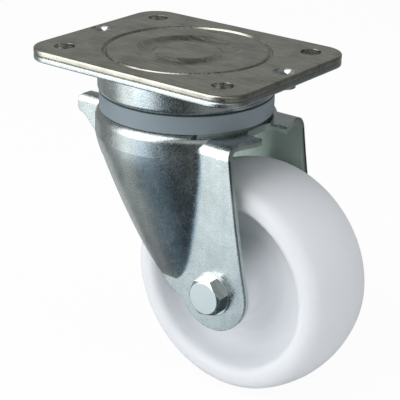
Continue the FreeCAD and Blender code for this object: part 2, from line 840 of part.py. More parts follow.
def off_line(first, last, share, bow):
    """A point at a share of the way between two points in side view, off to the left by the bow."""
    way = last - first
    left = FreeCAD.Vector(-way.z, 0, way.x).normalize()
    return first + way * share + left * bow


def bowed_edge(first, last, bow):
    """An arc between two points in side view whose middle is off to the left by the bow."""
    return Part.Arc(first, off_line(first, last, 0.5, bow), last).toShape()


def leg_front_edge(foot_front, skirt_end):
    """The front edge of a leg, a smooth curve from the foot up to the skirt."""
    names = ("ankle", "shin", "knee")
    turns = [(SIZES["leg_%s_share" % name], SIZES["leg_%s_bow" % name]) for name in names]
    middles = [off_line(foot_front, skirt_end, share, bow) for share, bow in turns]
    curve = Part.BSplineCurve()
    curve.interpolate([foot_front] + middles + [skirt_end])
    return curve.toShape()


def fork_side_view():
    """The fork's outline from the side, as one face in the plane of the swivel axis."""
    top = crown_top.value
    above = top + v.cut_margin.value
    foot = FreeCAD.Vector(swivel_offset.value, 0, axle_level.value)

    def at(x, z):
        return FreeCAD.Vector(x, 0, z)

    def on_foot(degrees):
        turn = math.radians(degrees)
        return foot + at(math.cos(turn), math.sin(turn)) * v.foot_radius.value

    ears_level = top - v.ear_drop.value - v.fork_sheet.value
    far_rear = wrap_radius.value + v.ear_outset.value + v.cut_margin.value
    far_front = -(wrap_radius.value + v.nose_outset.value + v.cut_margin.value)
    ear_side = at(wrap_radius.value + v.ear_side_outset.value, ears_level)
    foot_rear = on_foot(v.foot_rear_angle.value)
    foot_front = on_foot(v.foot_front_angle.value)
    skirt = top - v.skirt_drop.value
    skirt_end = at(-v.skirt_reach.value, skirt)
    nose_reach = wrap_radius.value + v.nose_outset.value
    lip = at(-nose_reach, top - v.nose_lip.value)
    chin = at(v.nose_chin_back.value - nose_reach, top - v.nose_chin_drop.value)
    jaw = at(chin.x + chin.z - skirt, skirt)
    edges = [
        Part.makeLine(at(far_front, above), at(far_rear, above)),
        Part.makeLine(at(far_rear, above), at(far_rear, ears_level)),
        Part.makeLine(at(far_rear, ears_level), ear_side),
        bowed_edge(ear_side, foot_rear, -v.leg_rear_bow.value),
        Part.Arc(foot_rear, on_foot(-90), foot_front).toShape(),
        leg_front_edge(foot_front, skirt_end),
        Part.makeLine(skirt_end, jaw),
        Part.makeLine(jaw, chin),
        bowed_edge(chin, lip, v.nose_lip_bow.value),
        Part.makeLine(lip, at(far_front, lip.z)),
        Part.makeLine(at(far_front, lip.z), at(far_front, above)),
    ]
    return Part.Face(Part.Wire(edges))


def slot_block(x_inner, x_outer, half_width, corner, top, height):
    """A cutting block for a slot that is open to one side and has two rounded inner corners."""
    low, high = sorted((x_inner, x_outer))
    block = Part.makeBox(high - low, 2 * half_width, height, FreeCAD.Vector(low, -half_width, top - height))

    def inner_corner(edge):
        box = edge.BoundBox
        return abs(box.XMin - x_inner) + abs(box.XMax - x_inner) < NEAR and box.ZLength > height - NEAR

    return block.makeFillet(corner, [edge for edge in block.Edges if inner_corner(edge)])


def beyond(radius, x_from, low, high):
    """The space outside an upright cylinder and behind a plane across the fork, between two levels."""
    far = 2 * (wrap_radius.value + v.ear_outset.value)
    ring = Part.makeCylinder(far, high - low, FreeCAD.Vector(0, 0, low))
    ring = ring.cut(Part.makeCylinder(radius, high - low, FreeCAD.Vector(0, 0, low)))
    behind = Part.makeBox(far, 2 * far, high - low, FreeCAD.Vector(x_from, -far, low))
    return ring.common(behind)


def ear_cutters():
    """What trims the trailing side: the ears' round rim, the step under the dust ring, the notch."""
    above = crown_top.value + v.cut_margin.value
    ears_top = crown_top.value - v.ear_drop.value
    below = ears_top - v.fork_sheet.value
    ear_radius = wrap_radius.value + v.ear_outset.value
    ear_side = wrap_radius.value + v.ear_side_outset.value
    rim = beyond(ear_radius, ear_side, below, above)
    step = beyond(v.ear_step_radius.value, v.ear_step_front.value, ears_top, above)
    notch = slot_block(ear_radius - v.ear_notch_depth.value, 2 * ear_radius,
                       v.ear_notch_half_width.value, v.ear_notch_round.value, above, above - below)
    return [rim, step, notch]


def make_fork():
    """The fork, pressed from one sheet: outer form less inner form, then trimmed to its outline."""
    outer = fork_form(0.0)
    inner = fork_form(v.fork_sheet.value)
    shell = outer[0].fuse(list(outer[1:])).cut(inner[0].fuse(list(inner[1:])))
    width = 2 * (wrap_radius.value + v.wrap_fillet.value)
    side_view = fork_side_view()
    side_view.translate(FreeCAD.Vector(0, -width / 2, 0))
    shell = shell.common(side_view.extrude(FreeCAD.Vector(0, width, 0)))
    above = crown_top.value + v.cut_margin.value
    tall = v.ear_drop.value + v.fork_sheet.value + 2 * v.cut_margin.value
    slot = slot_block(-(wrap_radius.value + v.nose_slot_start.value),
                      -2 * (wrap_radius.value + v.nose_outset.value),
                      v.nose_slot_half_width.value, v.nose_corner.value, above, tall)
    crown_hole = v.kingpin_shoulder.value / 2 + v.kingpin_crown_gap.value
    hole = Part.makeCylinder(crown_hole, tall, FreeCAD.Vector(0, 0, above - tall))
    upper_race = Part.makeTorus(upper_ball_pitch.value, upper_seat_radius.value,
                                FreeCAD.Vector(0, 0, upper_ball_level.value))
    lower_race = Part.makeTorus(v.lower_ball_pitch.value, lower_seat_radius.value,
                                FreeCAD.Vector(0, 0, lower_ball_level.value))
    axle_hole_radius = v.axle_thread.value / 2 + v.axle_hole_clearance.value
    axle_hole = Part.makeCylinder(axle_hole_radius, width,
                                  FreeCAD.Vector(swivel_offset.value, -width / 2, axle_level.value),
                                  FreeCAD.Vector(0, 1, 0))
    shape = shell.cut(ear_cutters() + [slot, hole, upper_race, lower_race, axle_hole]).removeSplitter()
    if len(shape.Solids) != 1:
        raise ValueError("the fork is not one solid but %d" % len(shape.Solids))
    fork = doc.addObject("Part::Feature", "fork")
    fork.Label = "fork"
    fork.Shape = shape.Solids[0]
    parts.append(fork)


def axle_body(label):
    """An empty body whose origin lies at the middle of the axle."""
    body = new_body(label)
    place(body, along_x=swivel_offset, along_z=axle_level)
    return body


def make_axle_bolt():
    """The axle: a hexagon bolt from the near side, with a plain end beyond the nut."""
    body = axle_body("axle_bolt")
    seat = -(fork_half_width + v.axle_washer_sheet)
    head = new_sketch(body, "head", "XZ_Plane", -seat)
    add_hexagon(head, v.bolt_head_flats, SIZES["bolt_turn"])
    pad(body, head, v.bolt_head_height)
    chamfer_corners(body, "corners", "XY_Plane", v.bolt_head_flats, v.bolt_face,
                    seat - v.bolt_head_height, -1)
    shank = new_sketch(body, "shank", "XY_Plane")
    radius = v.axle_thread / 2
    tip = fork_half_width + v.axle_washer_sheet + v.nut_height + v.bolt_end
    add_outline(shank, [
        (ZERO, seat), (radius, seat), (radius, tip - v.bolt_end / 2),
        (radius - v.bolt_end / 2, tip), (ZERO, tip),
    ])
    turned(body, shank)


def make_axle_washers():
    """The two flat washers outside the legs."""
    body = axle_body("axle_washers")
    ring = new_sketch(body, "ring", "XZ_Plane", fork_half_width)
    add_circle(ring, ZERO, ZERO, v.axle_washer / 2)
    add_circle(ring, ZERO, ZERO, v.axle_thread / 2)
    washer = pad(body, ring, v.axle_washer_sheet)
    mirrored(body, [washer], "XZ_Plane")


def make_axle_nut():
    """The lock nut on the far side, with a round collar that holds its insert."""
    body = axle_body("axle_nut")
    seat = fork_half_width + v.axle_washer_sheet
    block = new_sketch(body, "block", "XZ_Plane", -seat)
    add_hexagon(block, v.bolt_head_flats, SIZES["bolt_turn"])
    add_circle(block, ZERO, ZERO, v.axle_thread / 2)
    pad(body, block, v.nut_height - v.nut_collar_height, backwards=True)
    chamfer_corners(body, "corners", "XY_Plane", v.bolt_head_flats, v.nut_collar,
                    seat + v.nut_height - v.nut_collar_height, 1)
    collar = new_sketch(body, "collar", "XZ_Plane", -(seat + v.nut_height - v.nut_collar_height))
    add_circle(collar, ZERO, ZERO, v.nut_collar / 2)
    add_circle(collar, ZERO, ZERO, collar_bore_radius)
    pad(body, collar, v.nut_collar_height, backwards=True)


def make_nut_insert():
    """The ring of plastic inside the lock nut's collar."""
    body = axle_body("nut_insert")
    level = fork_half_width + v.axle_washer_sheet + v.nut_height - v.nut_collar_height
    ring = new_sketch(body, "ring", "XZ_Plane", -level)
    add_circle(ring, ZERO, ZERO, collar_bore_radius)
    add_circle(ring, ZERO, ZERO, v.axle_thread / 2)
    pad(body, ring, v.nut_insert_depth, backwards=True)


def make_axle_sleeve():
    """The steel tube between the legs, on which the rollers run."""
    body = axle_body("axle_sleeve")
    tube = new_sketch(body, "tube", "XY_Plane")
    inner = v.axle_thread / 2
    add_outline(tube, [
        (inner, -leg_inner), (sleeve_radius, -leg_inner), (sleeve_radius, leg_inner), (inner, leg_inner),
    ])
    turned(body, tube)


def make_thrust_washers():
    """The two thin washers between the hub's faces and the legs."""
    body = axle_body("thrust_washers")
    ring = new_sketch(body, "ring", "XZ_Plane", leg_inner - v.thrust_washer_sheet)
    add_circle(ring, ZERO, ZERO, v.thrust_washer / 2)
    add_circle(ring, ZERO, ZERO, sleeve_radius)
    washer = pad(body, ring, v.thrust_washer_sheet)
    mirrored(body, [washer], "XZ_Plane")


def make_wheel():
    """The wheel, moulded in one piece: crowned tread, rounded rim, dished web and a long hub."""
    body = axle_body("wheel")
    half = new_sketch(body, "half", "XY_Plane")
    crown, half_tread = SIZES["tread_crown"], SIZES["tread_half_width"]
    edge_radius = v.wheel_diameter / 2 - (crown - math.sqrt(crown ** 2 - half_tread ** 2))
    face_radius = edge_radius - v.rim_shoulder
    rim_inner = face_radius - v.rim_round
    dish = rim_inner - v.recess_wall_run
    side, web, hub = v.rim_half_width, v.web_half_width, v.hub_half_length
    add_outline(half, [
        (hub_bore_radius, -hub), (v.hub_face_radius, -hub), (v.hub_foot_radius, -web),
        (dish, -web), (rim_inner, -side), (face_radius, -side, v.rim_shoulder),
        (edge_radius, -v.tread_half_width, v.tread_crown), (edge_radius, v.tread_half_width, v.rim_shoulder),
        (face_radius, side), (rim_inner, side), (dish, web),
        (v.hub_foot_radius, web), (v.hub_face_radius, hub), (hub_bore_radius, hub),
    ])
    turned(body, half)
    round_recess(body, v.rim_round, rim_inner, side)
    round_recess(body, v.dish_fillet, dish, web)
    round_recess(body, v.hub_fillet, v.hub_foot_radius, web)


def round_recess(body, radius, edge_radius, level):
    """Rounds the two circular edges of the wheel that have this radius and level, one on each side."""

    def wanted(edge):
        ring = circle_about(edge, FreeCAD.Vector(0, 1, 0))
        return (ring and abs(ring[0] - edge_radius.value) < NEAR
                and abs(abs(ring[1]) - level.value) < NEAR)

    fillet(body, radius, wanted)


def make_roller_cage():
    """The plastic cage in the hub, with a slot for each roller."""
    body = axle_body("roller_cage")
    ring = new_sketch(body, "ring", "XY_Plane")
    half = roller_half_length + v.roller_cage_end
    outer = roller_pitch + v.roller_cage_wall / 2
    inner = roller_pitch - v.roller_cage_wall / 2
    add_outline(ring, [(inner, -half), (outer, -half), (outer, half), (inner, half)])
    turned(body, ring)
    window = new_sketch(body, "window", "XY_Plane")
    side = v.roller_diameter / 2 + v.cage_clearance
    end = roller_half_length + v.cage_clearance
    add_outline(window, [(-side, -end), (side, -end), (side, end), (-side, end)])
    before = solid_volume(body)
    cut = body.newObject("PartDesign::Pocket", "window_cut")
    cut.Profile = window
    cut.Reversed = True
    bind(cut, "Length", outer + v.roller_cage_wall)
    expect_less(body, before, cut)
    around(body, [cut], "Y_Axis", v.roller_count)


def make_rollers():
    """The rollers between the axle sleeve and the hub's bore."""
    body = axle_body("hub_rollers")
    round_end = new_sketch(body, "round", "XZ_Plane")
    add_circle(round_end, ZERO, roller_pitch, v.roller_diameter / 2)
    roller = pad(body, round_end, 2 * roller_half_length)
    roller.SideType = "Symmetric"
    around(body, [roller], "Y_Axis", v.roller_count)


make_top_plate()
make_bearing_plate()
make_plate_rivets()
make_kingpin()
make_kingpin_washer()
make_kingpin_nut()
make_lower_race()
make_balls("upper_balls", v.upper_ball, upper_ball_pitch, v.upper_ball_count, upper_ball_level)
make_ball_cage("upper_ball_cage", v.upper_ball, upper_ball_pitch, v.upper_ball_count,
               upper_ball_level, v.upper_cage_width)
make_balls("lower_balls", v.lower_ball, v.lower_ball_pitch, v.lower_ball_count, lower_ball_level)
make_ball_cage("lower_ball_cage", v.lower_ball, v.lower_ball_pitch, v.lower_ball_count,
               lower_ball_level, v.lower_cage_width)
make_dust_ring()
make_fork()
make_axle_bolt()
make_axle_washers()
make_axle_nut()
make_nut_insert()
make_axle_sleeve()
make_thrust_washers()
make_wheel()
make_roller_cage()
make_rollers()

doc.recompute()
for thing in doc.Objects:
    if "Invalid" in thing.State or "Error" in thing.State:
        raise ValueError("%s could not be built" % thing.Label)
for part in parts:
    if part.Shape.isNull() or not part.Shape.isValid() or not part.Shape.Solids:
        raise ValueError("%s has no sound shape" % part.Label)

os.makedirs("parts", exist_ok=True)
for part in parts:
    part.Shape.exportStep("parts/%s.step" % part.Label)
    print(part.Label, len(part.Shape.Solids), round(part.Shape.Volume, 1))
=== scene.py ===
import math

import bpy
from bpy.props import FloatProperty, FloatVectorProperty, PointerProperty
from mathutils import Matrix, Vector


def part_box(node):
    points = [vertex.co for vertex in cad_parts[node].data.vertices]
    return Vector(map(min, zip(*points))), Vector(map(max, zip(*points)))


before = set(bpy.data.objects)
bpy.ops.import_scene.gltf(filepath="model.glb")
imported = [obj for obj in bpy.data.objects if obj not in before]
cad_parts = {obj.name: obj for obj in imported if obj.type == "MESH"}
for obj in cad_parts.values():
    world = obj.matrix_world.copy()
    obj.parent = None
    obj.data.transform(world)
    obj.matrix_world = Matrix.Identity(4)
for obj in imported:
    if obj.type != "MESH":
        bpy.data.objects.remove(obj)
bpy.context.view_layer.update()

bl_info = {
    "name": "Swivel Castor",
    "blender": (4, 5, 0),
    "version": (1, 0, 0),
    "location": "View3D > Sidebar > Castor",
    "description": "Dresses the packed swivel castor with its finished surfaces and its studio",
    "category": "Object",
}

# Lengths are in metres and angles in degrees, and only the camera's sensor is in millimetres.

# The camera that the photograph was taken with, worked out from the plate's holes and the wheel
PHOTO_WIDTH = 400
FOCAL_LENGTH_PIXELS = 1293.95
SENSOR_WIDTH = 36.0
NEAREST_SEEN = 0.01
CAMERA_PLACE = Vector((0.400761, -0.515651, 0.188607))
CAMERA_RIGHT = Vector((0.79181174, 0.61041871, 0.02057112))
CAMERA_UP = Vector((-0.2512357, 0.29482417, 0.92193239))
CAMERA_BACK = Vector((0.55669992, -0.73516509, 0.38680421))

# The middle of the fork's sheet, which parts its inner side, which gets painted shade and is
# rougher, from its outer side. The round front shrinks and leans back from one level down to
# another, and the flat sides take over behind it. A corner at the top has the level of its centre
# and its radius, and its edge fades between two shares of that radius
FRONT_RADIUS = 0.0467
FRONT_SHRINK = 0.01445
FRONT_LEAN = 0.018675
FRONT_LEAN_POWER = 1.22
FRONT_TAPER = (-0.044, -0.1136)
SIDE_HALF_WIDTH = 0.0321
SIDE_START = (0.0, 0.01)
CROWN_CORNER = (-0.0354, 0.0025)
EAR_CORNER = (-0.040, 0.0051)
CORNER_FADE = (0.8, 1.2)

# The outer half of the legs' cut edges, which gets a painted shade: beyond the round front, under
# the ears' rounds, and from the middle of the sheet out to its outer side
CUT_REACH = (0.050, 0.052)
CUT_TOP = (-0.0405, -0.0400)
CUT_INNER_SIDE = (0.0321, 0.0325)
CUT_OUTER_SIDE = (0.0336, 0.0339)

# The colours of both, which are painted shade, how strongly they cover the zinc, and how much
# rougher the inner side is
INNER_SHADE_COLOUR = (0.66, 0.76, 0.70, 1.0)
INNER_SHADE_COVER = 0.8
INNER_ROUGHER = 0.4
CUT_SHADE_COLOUR = (0.10, 0.13, 0.17, 1.0)
CUT_SHADE_COVER = 0.85

# Other colours that aren't among the settings
WHITE = (1.0, 1.0, 1.0, 1.0)
BROWN_SPECKS = (0.16, 0.12, 0.085, 1.0)
STEEL_DARK = (0.42, 0.42, 0.43, 1.0)
STEEL_PALE = (0.56, 0.56, 0.57, 1.0)
CREAM_DARK = (0.70, 0.68, 0.60, 1.0)
CREAM_PALE = (0.78, 0.76, 0.68, 1.0)

# Noises are stretched by scaling the place along the axes: the marks of drawing run up the sheet,
# the rolled streaks along the plate and the scratches across it
DRAWN = (1.0, 1.0, 0.12)
ROLLED = (0.08, 1.0, 1.0)
SCRATCHED = (1.0, 0.05, 1.0)
# Where most values of a noise lie
USUAL_NOISE = (0.3, 0.7)

# The studio: how white the floor looks and how far it reaches, the point that the soft lights face,
# and the lights, each with its compass turn, rise and distance, its width and height, its share of
# the key light's power, and whether the metal mirrors it
FLOOR_WHITENESS = 0.95
FLOOR_REACH = 4.0
CASTOR_MIDDLE = Vector((0.0, 0.0, -0.09))
SOFT_LIGHTS = {
    "key_light": ((247, 28, 1.3), (1.4, 2.2), 1.0, True),
    "top_light": ((247, 80, 1.3), (1.0, 1.0), 0.2, False),
    "side_light": ((10, 25, 1.3), (1.0, 1.0), 0.25, False),
}

# The room that the metal mirrors: its level and tint, the tint and place of its bluish shade, and
# its patches. A patch has its compass turn and rise, the angles from its middle where it is full
# and where it ends, and what it adds to the room or, below zero, the share that it takes away
ROOM_LEVEL = 0.27
ROOM_TINT = (0.95, 1.0, 1.0, 1.0)
SHADE_TINT = (0.7, 1.0, 1.25, 1.0)
ROOM_SHADE = (270, -38, 12, 38)
ROOM_PATCHES = (
    (234, -10, 12, 32, 0.85),
    (212, -34, 5, 16, 0.3),
    (158, -32, 5, 18, 0.4),
    (318, 12, 5, 30, 0.3),
    (0, 90, 15, 55, -0.6),
    (40, 5, 20, 55, -0.6),
    (299, -27, 14, 32, -0.8),
    (250, -62, 20, 42, -0.6),
)


class CastorSettings(bpy.types.PropertyGroup):
    """Colours and sizes of the finish, and the levels of the studio, that a user may change."""

    zinc_colour: FloatVectorProperty(
        name="Zinc colour", description="Colour of the fork and the neck",
        subtype="COLOR", default=(0.60, 0.64, 0.64), min=0.0, max=1.0)
    cover_colour: FloatVectorProperty(
        name="Cover colour", description="Colour of the worn upper plate",
        subtype="COLOR", default=(0.57, 0.55, 0.475), min=0.0, max=1.0)
    bright_colour: FloatVectorProperty(
        name="Bright zinc colour", description="Colour of the bolts, nuts, washers and rivets",
        subtype="COLOR", default=(0.76, 0.80, 0.80), min=0.0, max=1.0)
    nylon_colour: FloatVectorProperty(
        name="Nylon colour", description="Colour of the wheel",
        subtype="COLOR", default=(0.76, 0.785, 0.82), min=0.0, max=1.0)
    ring_colour: FloatVectorProperty(
        name="Ring colour", description="Colour of the dust ring",
        subtype="COLOR", default=(0.21, 0.26, 0.29), min=0.0, max=1.0)
    floor_colour: FloatVectorProperty(
        name="Floor colour", description="Colour of the studio floor",
        subtype="COLOR", default=(0.9, 0.9, 0.9), min=0.0, max=1.0)
    speck_size: FloatProperty(
        name="Speck size", description="Size of the specks in the plating",
        unit="LENGTH", default=0.0007, min=0.0001, max=0.01)
    stain_size: FloatProperty(
        name="Stain size", description="Size of the cloudy stains on the metal",
        unit="LENGTH", default=0.014, min=0.001, max=0.1)
    edge_round: FloatProperty(
        name="Edge softness", description="Radius that the light finds on sharp metal edges",
        unit="LENGTH", default=0.0004, min=0.0, max=0.002)
    key_power: FloatProperty(
        name="Key light", description="Power of the large soft light, in watts",
        default=20.0, min=0.0, max=500.0)
    room_light: FloatProperty(
        name="Room light", description="Level of the light that the room gives from all round",
        default=0.28, min=0.0, max=10.0)


class Value:
    """A shader number. Sums, products and powers of values become Math nodes."""

    def __init__(self, graph, socket):
        self.graph = graph
        self.socket = socket

    def maths(self, operation, first, second):
        return self.graph.node("ShaderNodeMath", {"operation": operation}, {0: first, 1: second})

    def __add__(self, other):
        return self.maths("ADD", self, other)

    def __radd__(self, other):
        return self.maths("ADD", other, self)

    def __sub__(self, other):
        return self.maths("SUBTRACT", self, other)

    def __rsub__(self, other):
        return self.maths("SUBTRACT", other, self)

    def __mul__(self, other):
        return self.maths("MULTIPLY", self, other)

    def __rmul__(self, other):
        return self.maths("MULTIPLY", other, self)

    def __pow__(self, other):
        return self.maths("POWER", self, other)

    def at_least(self, other):
        """The larger of the two."""
        return self.maths("MAXIMUM", self, other)

    def at_most(self, other):
        """The smaller of the two."""
        return self.maths("MINIMUM", self, other)


class Graph:
    """The node tree of one material or world."""

    def __init__(self, tree):
        self.tree = tree
        tree.nodes.clear()

    def node(self, kind, settings, values, output=0):
        """Adds a node, sets its settings and then its sockets' values and links. Returns one
        output."""
        made = self.tree.nodes.new(kind)
        for name, value in settings.items():
            setattr(made, name, value)
        for name, value in values.items():
            if isinstance(value, Value):
                self.tree.links.new(value.socket, made.inputs[name])
            else:
                made.inputs[name].default_value = value
        return Value(self, made.outputs[output]) if made.outputs else None

    def position(self):
        """The place on the piece, in metres."""
        return self.node("ShaderNodeTexCoord", {}, {}, "Object")

    def stretched(self, vector, scales):
        """The place, scaled by its own factor along each axis."""
        return self.node("ShaderNodeVectorMath", {"operation": "MULTIPLY"}, {
            0: vector, 1: scales})

    def parts(self, vector):
        """The sideways, lengthwise and upward parts of a place."""
        outputs = self.node("ShaderNodeSeparateXYZ", {}, {0: vector}).socket.node.outputs
        return tuple(Value(self, outputs[name]) for name in "YXZ")

    def along(self, vector, direction):
        """How far a vector reaches along a direction."""
        return self.node("ShaderNodeVectorMath", {"operation": "DOT_PRODUCT"}, {
            0: vector, 1: direction}, "Value")

    def ray(self, kind):
        """1 for a ray of one kind and 0 for the others."""
        return self.node("ShaderNodeLightPath", {}, {}, f"Is {kind} Ray")

    def noise(self, vector, waves, detail=3.0, roughness=0.5):
        """A noise between 0 and 1, with so many waves to the metre."""
        return self.node("ShaderNodeTexNoise", {}, {
            "Vector": vector, "Scale": waves, "Detail": detail, "Roughness": roughness}, "Fac")

    def spread(self, value, start, end, first, last, soft=False):
        """Maps a value from the range between start and end to another, held at its ends."""
        kind = "SMOOTHSTEP" if soft else "LINEAR"
        return self.node("ShaderNodeMapRange", {"clamp": True, "interpolation_type": kind}, {
            "Value": value, "From Min": start, "From Max": end, "To Min": first, "To Max": last})

    def rising(self, value, start, end, top=1.0, soft=False):
        """0 up to the start, then rising, and at its top from the end on."""
        return self.spread(value, start, end, 0.0, top, soft)

    def falling(self, value, start, end):
        """1 up to the start, then falling, and 0 from the end on."""
        return self.spread(value, start, end, 1.0, 0.0)

    def between(self, noise, low, high):
        """The usual values of a noise, spread between two numbers."""
        return self.spread(noise, *USUAL_NOISE, low, high)

    def blend(self, factor, first, second):
        """A colour between two colours."""
        return self.node("ShaderNodeMix", {"data_type": "RGBA"}, {
            "Factor": factor, 6: first, 7: second}, 2)

    def shades(self, factor, colour, first, second):
        """A colour between two shades of one colour."""
        return self.blend(factor, shade(colour, first), shade(colour, second))

    def bump(self, height, depth, strength, edge_round=None):
        """Normals tilted by a height. Where a radius is given, they also turn smoothly across
        sharp edges."""
        sockets = {"Height": height, "Distance": depth, "Strength": strength}
        if edge_round is not None:
            sockets["Normal"] = self.node("ShaderNodeBevel", {"samples": 6}, {"Radius": edge_round})
        return self.node("ShaderNodeBump", {}, sockets, "Normal")


def shade(colour, factor):
    """A colour made lighter or darker, with full alpha."""
    return tuple(min(channel * factor, 1.0) for channel in colour) + (1.0,)


def surface(name):
    """An empty material and its graph."""
    material = bpy.data.materials.new(name)
    material.use_nodes = True
    return material, Graph(material.node_tree)


def finish_surface(graph, **inputs):
    """Ends a material's graph with a Principled shader."""
    sockets = {name.replace("_", " ").title().replace("Ior", "IOR"): value
               for name, value in inputs.items()}
    shader = graph.node("ShaderNodeBsdfPrincipled", {}, sockets)
    graph.node("ShaderNodeOutputMaterial", {}, {"Surface": shader})


def under_corner(graph, reach, half_width, up, corner):
    """1 inside a rounded upper corner, 0 outside: the distances past its centre, squared and
    summed, against its radius squared."""
    level, radius = corner
    past_side = (reach - (half_width - radius)).at_least(0.0)
    past_top = (up - level).at_least(0.0)
    fade = ((share * radius) ** 2 for share in CORNER_FADE)
    return graph.falling(past_side * past_side + past_top * past_top, *fade)


def fork_sides(graph, place):
    """Two masks: the fork's inner side, told from its outer side by the middle of its sheet, which
    gets painted shade and more roughness, and the outer half of the legs' cut edges, which gets
    painted shade."""
    across, along, up = graph.parts(place)
    depth = graph.rising(up, *FRONT_TAPER)
    behind = along - depth ** FRONT_LEAN_POWER * FRONT_LEAN
    reach = (across * across + behind * behind) ** 0.5 + depth * FRONT_SHRINK
    offset = (across * across) ** 0.5
    front = under_corner(graph, reach, FRONT_RADIUS, up, CROWN_CORNER)
    sides = under_corner(graph, offset, SIDE_HALF_WIDTH, up, EAR_CORNER)
    inner = (front + sides * graph.rising(behind, *SIDE_START)).at_most(1.0)
    # The mask for the painted shade on the outer half of the legs' cut edges
    cut_shade = (graph.rising(reach, *CUT_REACH) * graph.falling(up, *CUT_TOP)
           * graph.rising(offset, *CUT_INNER_SIDE) * graph.falling(offset, *CUT_OUTER_SIDE))
    return inner, cut_shade


def plated_sheet(settings):
    """Zinc on pressed sheet: specks, cloudy stains and a slightly uneven skin, with painted shade
    and more roughness on the fork's inner side and painted shade on the outer half of its cut
    edges."""
    material, graph = surface("zinc_sheet")
    place = graph.position()
    inner, cut_shade = fork_sides(graph, place)
    stain = graph.noise(place, 1 / settings.stain_size, detail=4.0, roughness=0.6)
    speck = graph.noise(place, 1 / settings.speck_size, detail=2.0, roughness=0.7)
    drawn = graph.noise(graph.stretched(place, DRAWN), 2.2 / settings.stain_size, roughness=0.6)
    cloud = graph.rising(stain * 0.6 + drawn * 0.4, 0.36, 0.62)
    clean = graph.shades(cloud, settings.zinc_colour, 0.84, 1.08)
    dark_specks = graph.rising(speck, 0.54, 0.74, top=0.5)
    marked = graph.blend(dark_specks, clean, shade(settings.zinc_colour, 0.5))
    # Painted shade: a duller, greener colour on the fork's inner side stands in for the shade
    # inside the fork
    inner_shaded = graph.blend(inner * INNER_SHADE_COVER, marked, INNER_SHADE_COLOUR)
    # Painted shade: a dark colour on the outer half of the legs' cut edges
    colour = graph.blend(cut_shade * CUT_SHADE_COVER, inner_shaded, CUT_SHADE_COLOUR)
    rough_specks = graph.rising(speck, 0.45, 0.65, top=0.22)
    rough = graph.between(stain, 0.14, 0.25) + rough_specks + inner * INNER_ROUGHER
    skin = graph.bump(speck, depth=0.0001, strength=0.6, edge_round=settings.edge_round)
    finish_surface(graph, base_color=colour, metallic=1.0, roughness=rough, normal=skin)
    return material


def worn_cover(settings):
    """Zinc of the upper plate, worn by handling: rolled streaks, scratches and brown specks."""
    material, graph = surface("worn_zinc")
    place = graph.position()
    stain = graph.noise(place, 0.8 / settings.stain_size, detail=5.0, roughness=0.62)
    rolled = graph.noise(graph.stretched(place, ROLLED), 9.0 / settings.stain_size, roughness=0.6)
    speck = graph.noise(place, 0.7 / settings.speck_size, roughness=0.65)
    scratch = graph.noise(graph.stretched(place, SCRATCHED), 26.0 / settings.stain_size, detail=2.0)
    cloud = graph.rising(stain * 0.55 + rolled * 0.45, 0.4, 0.6)
    metal = graph.shades(cloud, settings.cover_colour, 0.68, 1.18)
    bright_scratches = graph.rising(scratch, 0.64, 0.76, top=0.5)
    marked = graph.blend(bright_scratches, metal, shade(settings.cover_colour, 1.5))
    brown = graph.rising(stain * 0.5 + speck * 0.5, 0.57, 0.66, top=0.55)
    colour = graph.blend(brown, marked, BROWN_SPECKS)
    rough = graph.between(rolled, 0.22, 0.36) + brown * 0.2
    uneven = rolled * 0.5 + speck * 0.5
    skin = graph.bump(uneven, depth=0.00004, strength=0.3, edge_round=settings.edge_round)
    finish_surface(graph, base_color=colour, metallic=1.0, roughness=rough, normal=skin)
    return material


def bright_metal(settings):
    """Bright zinc of turned and headed pieces."""
    material, graph = surface("zinc_bright")
    place = graph.position()
    mottle = graph.noise(place, 4 / settings.stain_size)
    speck = graph.noise(place, 1 / settings.speck_size, detail=2.0, roughness=0.6)
    clean = graph.shades(mottle, settings.bright_colour, 0.88, 1.05)
    dark_specks = graph.rising(speck, 0.6, 0.75, top=0.35)
    colour = graph.blend(dark_specks, clean, shade(settings.bright_colour, 0.6))
    rough = graph.between(mottle, 0.14, 0.26)
    skin = graph.bump(mottle, depth=0.00003, strength=0.3, edge_round=settings.edge_round)
    finish_surface(graph, base_color=colour, metallic=1.0, roughness=rough, normal=skin)
    return material


def bearing_metal(settings):
    """Ground bearing steel with a film of grease."""
    material, graph = surface("bearing_steel")
    smear = graph.noise(graph.position(), 2 / settings.stain_size, detail=2.0)
    colour = graph.blend(smear, STEEL_DARK, STEEL_PALE)
    rough = graph.between(smear, 0.12, 0.3)
    finish_surface(graph, base_color=colour, metallic=1.0, roughness=rough)
    return material


def nylon(settings):
    """White moulded nylon: slightly clear, softly glossy, with a very fine moulded skin."""
    material, graph = surface("white_nylon")
    place = graph.position()
    cloud = graph.noise(place, waves=18.0)
    grain = graph.noise(place, waves=900.0, detail=2.0)
    colour = graph.shades(cloud, settings.nylon_colour, 0.98, 1.0)
    finish_surface(
        graph, base_color=colour, roughness=graph.between(cloud, 0.38, 0.48),
        subsurface_weight=0.65, subsurface_scale=0.006, subsurface_radius=(1.0, 0.95, 0.9),
        specular_ior_level=0.35, normal=graph.bump(grain, depth=0.00002, strength=0.4))
    return material


def moulded_grey(settings):
    """Grey moulded plastic of the dust ring."""
    material, graph = surface("ring_grey")
    place = graph.position()
    cloud = graph.noise(place, waves=60.0)
    grain = graph.noise(place, waves=1500.0, detail=2.0)
    colour = graph.shades(cloud, settings.ring_colour, 0.94, 1.06)
    finish_surface(graph, base_color=colour, roughness=graph.between(cloud, 0.42, 0.52),
                   normal=graph.bump(grain, depth=0.00003, strength=0.5))
    return material


def cage_plastic():
    """Cream plastic of the cages and the nut's insert."""
    material, graph = surface("cage_plastic")
    cloud = graph.noise(graph.position(), waves=90.0)
    colour = graph.blend(cloud, CREAM_DARK, CREAM_PALE)
    finish_surface(graph, base_color=colour, roughness=graph.between(cloud, 0.35, 0.5))
    return material


def dress(material, *nodes):
    """Gives carried-over nodes their material."""
    for node in nodes:
        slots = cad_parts[node].data.materials
        slots.clear()
        slots.append(material)


